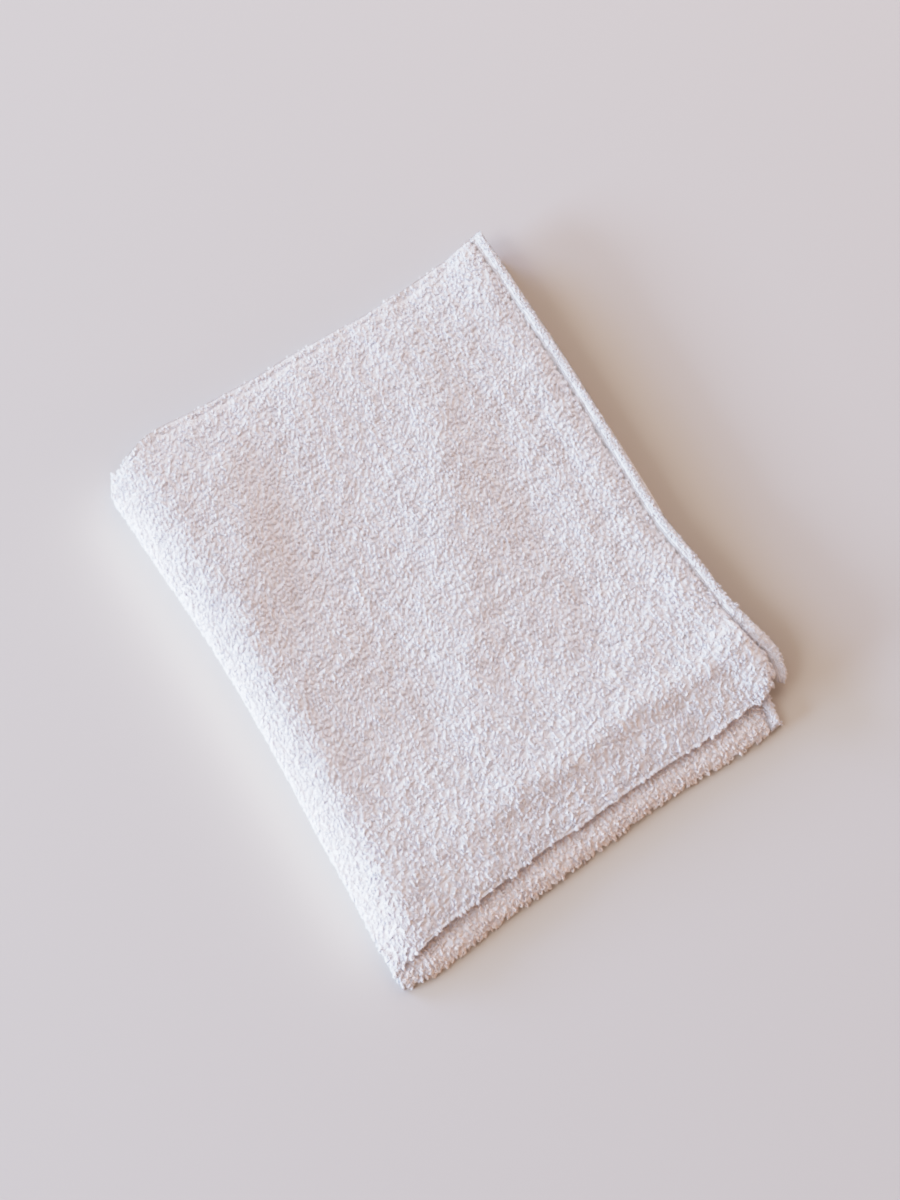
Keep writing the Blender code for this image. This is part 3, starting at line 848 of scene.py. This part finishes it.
def ground_cotton(tone):
    """Woven ground: weft ribs on hem and selvedge, painted shade at the seam, and matted loops
    elsewhere.

    The ribs are sines of the place along the panel. Those of the hem are shifted and mixed with a
    fuzz, so that they break up. The matted loops are a noise drawn out along the nap, and the ground
    under them takes part of the painted shade tone.
    """
    material, tree, shader, bump = cotton_material("ground_cotton", GROUND_BUMP)
    weave = uv_map(tree, "weave")
    split = tree.nodes.new("ShaderNodeSeparateXYZ")
    tree.links.new(weave, split.inputs[0])
    fuzz = noise(tree, weave, Scale=0.55, Detail=3.0, Roughness=0.6)
    shifted = maths(tree, "ADD", split.outputs["X"], maths(tree, "MULTIPLY", fuzz, RIB_WAVER))
    hem_wave = maths(tree, "SINE", maths(tree, "MULTIPLY", shifted, 2 * math.pi / HEM_RIB))
    hem_ribs = maths(tree, "ADD", hem_wave, maths(tree, "MULTIPLY", fuzz, FUZZ_HEIGHT))
    selvedge_phase = maths(tree, "MULTIPLY", split.outputs["X"], 2 * math.pi / SELVEDGE_RIB)
    hem, selvedge, seam = [attribute(tree, name) for name in ("hem", "selvedge", "seam")]
    stretched = tree.nodes.new("ShaderNodeMapping")
    set_inputs(stretched, Rotation=(0, 0, -LEAN_ANGLE), Scale=GRAIN_SHAPE)
    tree.links.new(weave, stretched.inputs["Vector"])
    loops = noise(tree, stretched.outputs["Vector"], Scale=1.0, Detail=1.0, Distortion=0.6)
    plain = maths(tree, "SUBTRACT", maths(tree, "SUBTRACT", 1.0, hem), selvedge)
    selvedge_height = maths(tree, "MULTIPLY", selvedge, SELVEDGE_HEIGHT)
    ribs = maths(tree, "ADD", maths(tree, "MULTIPLY", hem_ribs, hem),
                 maths(tree, "MULTIPLY", maths(tree, "SINE", selvedge_phase), selvedge_height))
    grain = maths(tree, "MULTIPLY", maths(tree, "MULTIPLY", loops, GRAIN_HEIGHT), plain)
    tree.links.new(maths(tree, "ADD", ribs, grain), bump.inputs["Height"])
    shade = place_group(tree, tone)
    # painted shade: the ground between the loops takes part of the shade tone, the seam's groove all of
    # it
    depth = maths(tree, "MAXIMUM", seam, maths(tree, "MULTIPLY", plain, PLAIN_PAINTED_SHADE))
    tree.links.new(depth, shade.inputs["Depth"])
    # painted shade in the seam's groove: its colour is darkened along the seam, most at the puckers
    painted_seam_shade = maths(tree, "ADD", maths(tree, "MULTIPLY", seam, SEAM_PAINTED_SHADE), 1.0)
    tree.links.new(scale_colour(tree, shade.outputs["Color"], painted_seam_shade), shader.inputs["Base Color"])
    return material


def thread_cotton(tone, twist):
    """Sewing thread, painted dark as shade in the seam's groove; finer than the loops, and with fewer
    turns to a stitch.
    """
    material, tree, shader, bump = cotton_material("thread_cotton", THREAD_BUMP)
    shade = place_group(tree, tone)
    # the thread's colour is painted shade
    set_inputs(shade, Free=THREAD_PAINTED_SHADE)
    tree.links.new(shade.outputs["Color"], shader.inputs["Base Color"])
    twisted_ply(tree, twist, THREAD_TWIST, bump)
    return material


# ---- Table, light and camera ----
def pale_table():
    """A wide plain table top."""
    mesh = bpy.data.meshes.new("table_top")
    corners = [(-1, -1), (1, -1), (1, 1), (-1, 1)]
    mesh.from_pydata([(x * TABLE_REACH, y * TABLE_REACH, 0) for x, y in corners], [], [(0, 1, 2, 3)])
    material = bpy.data.materials.new("pale_table")
    material.use_nodes = True
    shader = material.node_tree.nodes["Principled BSDF"]
    set_inputs(shader, Base_Color=TABLE_COLOUR, Roughness=0.6, Specular_IOR_Level=0.2)
    mesh.materials.append(material)
    new_object("table_top", mesh)


def area_lamp(name, size, power, colour, placed):
    """A rectangular lamp placed by a matrix; it shines down its own Z."""
    lamp = bpy.data.lights.new(name, "AREA")
    lamp.shape = "RECTANGLE"
    lamp.size, lamp.size_y = size
    lamp.energy = power
    lamp.color = colour
    holder = new_object(name, lamp)
    holder.matrix_world = placed
    return holder


def soft_box(name, away, elevation, azimuth, size, power, colour, only):
    """A lamp aimed at the towel from a direction in plan, and a height above the table.

    Where "only" names an object, the lamp lights that one alone, but all of them cast its shadows.
    """
    rise, turn = math.radians(elevation), math.radians(azimuth)
    flat = math.cos(rise) * away
    where = Vector((math.cos(turn) * flat, math.sin(turn) * flat, math.sin(rise) * away))
    aimed = Matrix.Translation(where) @ where.to_track_quat("Z", "Y").to_matrix().to_4x4()
    holder = area_lamp(name, size, power, colour, aimed)
    if only:
        lit = bpy.data.collections.new(name + "_lights")
        lit.objects.link(bpy.data.objects[only])
        holder.light_linking.receiver_collection = lit
        holder.visible_glossy = False


def room_light():
    """Light from all round: cool and bright on one side, warm and dim on the other, plain to the camera.

    The share of the bright side is ((1 + the cosine of the angle to it) / 2) ^ ROOM_CURVE.
    """
    world = bpy.data.worlds.new("room")
    bpy.context.scene.world = world
    world.use_nodes = True
    tree = world.node_tree
    place = tree.nodes.new("ShaderNodeTexCoord")
    toward = tree.nodes.new("ShaderNodeVectorMath")
    toward.operation = "DOT_PRODUCT"
    tree.links.new(place.outputs["Generated"], toward.inputs[0])
    toward.inputs[1].default_value = (math.cos(BRIGHT_SIDE), math.sin(BRIGHT_SIDE), 0)
    share = maths(tree, "MULTIPLY", maths(tree, "ADD", toward.outputs["Value"], 1.0), 0.5)
    mixed = mix_colours(tree, maths(tree, "POWER", share, ROOM_CURVE), ROOM_FAR, ROOM_BRIGHT)
    rays = tree.nodes.new("ShaderNodeLightPath")
    seen = mix_colours(tree, rays.outputs["Is Camera Ray"], mixed, ROOM_SEEN)
    tree.links.new(seen, tree.nodes["Background"].inputs["Color"])


def film_look():
    """A film's soft shoulder: light from 0.4 up to FILM_WHITE is pressed together towards white.

    The pixels are softened, and light is followed through many bounces between the white loops.
    """
    cycles, view = bpy.context.scene.cycles, bpy.context.scene.view_settings
    cycles.diffuse_bounces = BOUNCES
    cycles.filter_width = PIXEL_SOFTNESS
    view.view_transform = "Standard"
    view.use_curve_mapping = True
    mapping = view.curve_mapping
    mapping.white_level = (FILM_WHITE, FILM_WHITE, FILM_WHITE)
    curve = mapping.curves[3]
    curve.points[-1].location = (1, 1)
    for light, shown in FILM_ROWS:
        curve.points.new(light / FILM_WHITE, shown)
    mapping.update()


def studio_light():
    """Cool daylight from the turn's side, and a warmer fill from the hems' side."""
    for lamp in LAMPS:
        soft_box(*lamp)
    # light that the turn's white side throws back on the table beside it
    area_lamp("fold_bounce", *BOUNCE_LAMP, Matrix.Translation(BOUNCE_PLACE))
    room_light()
    film_look()


def photo_camera():
    """The photo's camera: 76 degrees down, turned 32.4 degrees to the right of +Y."""
    yaw, pitch, place = math.radians(32.381), math.radians(76), (-0.115738, -0.185234, 0.861360)
    ahead = Vector((math.sin(yaw), math.cos(yaw), 0))
    right = Vector((math.cos(yaw), -math.sin(yaw), 0))
    look = ahead * math.cos(pitch) - Vector((0, 0, 1)) * math.sin(pitch)
    up = ahead * math.sin(pitch) + Vector((0, 0, 1)) * math.cos(pitch)
    lens = bpy.data.cameras.new("photo_camera")
    lens.lens = 52.0
    lens.sensor_width = 36.0
    lens.clip_start = 0.02
    camera = new_object("photo_camera", lens)
    turned = Matrix((right, up, -look)).transposed().to_4x4()
    camera.matrix_world = Matrix.Translation(place) @ turned
    bpy.context.scene.camera = camera


# ---- The towel ----
def build_towel():
    """The ground cloth, its loops and its sewing, put into the scene as pieces of the folded towel."""
    tone, twist = cotton_tone_group(), yarn_twist_group()
    loops = loop_cotton("loop_cotton", tone, twist, LOOP_FREE, LOOP_PAINTED_SHADE)
    # the lower layer's front loops take warmer, darker painted shade tones, for the shade under the
    # upper layer
    shaded_low_loops = loop_cotton("low_loop_cotton", tone, twist, LOW_LOOP_PAINTED_SHADE_TOP, LOW_LOOP_PAINTED_SHADE_ROOT)
    ground, thread = ground_cotton(tone), thread_cotton(tone, twist)
    panel = Panel()
    cloth = add_piece(cloth_mesh(panel), ground)
    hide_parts("towel_panel")

    hem_end, last = HEM_WIDTH + HEM_CLEAR, panel.section[-1]
    start, end, outer_end = panel.turn_start, panel.turn_end, panel.turn_end + TURN_CLEAR
    inside = (start - INSIDE_REACH, end + INSIDE_REACH)
    quarter = (outer_end - hem_end) / 4
    piles = []
    for number, name in enumerate(("pile_by_hem", "pile_middle", "pile_by_turn", "pile_round_turn")):
        span = (hem_end + quarter * number, hem_end + quarter * (number + 1))
        piles.append((name, 40 + number, loops, [
            (1, span, (0.6, PANEL_WIDTH - 0.3), 0.0, *LOW_PILE),
            (1, span, (PANEL_WIDTH - 2.6, PANEL_WIDTH - 0.1), 0.15 * math.pi, (1.4, 2.2), (0.6, 1.0))]))
    piles.append(("pile_lower_front", 50, shaded_low_loops, [
        (-1, (end, last - hem_end), (0.8, 32), FRONT_TURN, *LOW_PILE),
        (1, (outer_end, last - hem_end), (0.8, 9), FRONT_TURN, (2.8, 4.0), (0.4, 0.7))]))
    piles.append(("pile_behind", 51, loops, [
        (1, (outer_end, last - hem_end), (293, 301.2), math.pi, (3.6, 5.0), (0.3, 0.6)),
        (-1, (hem_end, start), (289, 301), math.pi, *LOW_PILE),
        (-1, inside, (2, 22), 0.0, *LOW_PILE),
        (-1, inside, (286, 301), math.pi, *LOW_PILE)]))
    piles.append(("hem_nubs", 52, loops, [
        (1, (0.5, HEM_WIDTH - 1.7), (0.4, PANEL_WIDTH - 0.4), *NUBS),
        (-1, (last - HEM_WIDTH + 0.9, last - 0.5), (0.4, 24), *NUBS)]))
    pieces = [add_piece(pile_mesh(name, panel, patches, seed), cotton)
              for name, seed, cotton, patches in piles]
    stitches = add_piece(stitch_mesh(panel), thread)


photo_camera()
pale_table()
studio_light()
build_towel()
